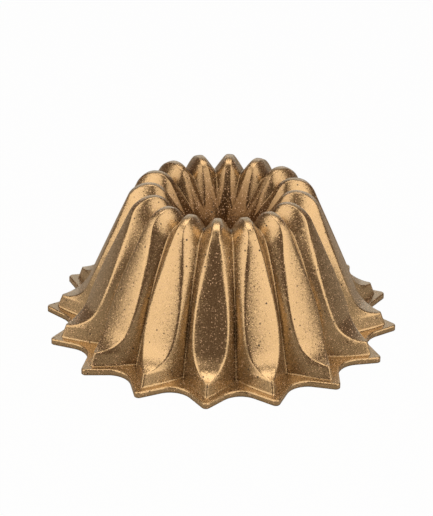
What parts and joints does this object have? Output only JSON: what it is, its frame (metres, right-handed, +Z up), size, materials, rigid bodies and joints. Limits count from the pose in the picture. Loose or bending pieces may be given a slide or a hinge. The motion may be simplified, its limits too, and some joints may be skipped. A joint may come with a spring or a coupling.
{
  "type": "fluted bundt pan",
  "caption": "Round fluted cast baking pan with a star-shaped rim, ribs that arch over to an open centre tube and a speckled coating, standing on its rim.",
  "frame": {"origin": "centre of the rim face, on the axis of the centre tube, at the bottom of the pan as it stands on its rim", "axes": "+Z up the axis of the centre tube, from the rim face towards the arched crest of the ribs; one rib and star point along -Y, the others every 22.5 degrees round Z"},
  "size_m": [0.26, 0.26, 0.1102],
  "materials": {
    "pan_casting": "cast, covered by the coatings",
    "outside_coating": "semi-gloss sprayed coating, gold-bronze with fine dark and pale specks",
    "inside_coating": "semi-gloss sprayed release coating, gold-bronze with fine specks"
  },
  "bodies": {
    "root": {"pan_casting": "pan_casting", "outside_coating": "outside_coating", "inside_coating": "inside_coating"}
  },
  "joints": []
}
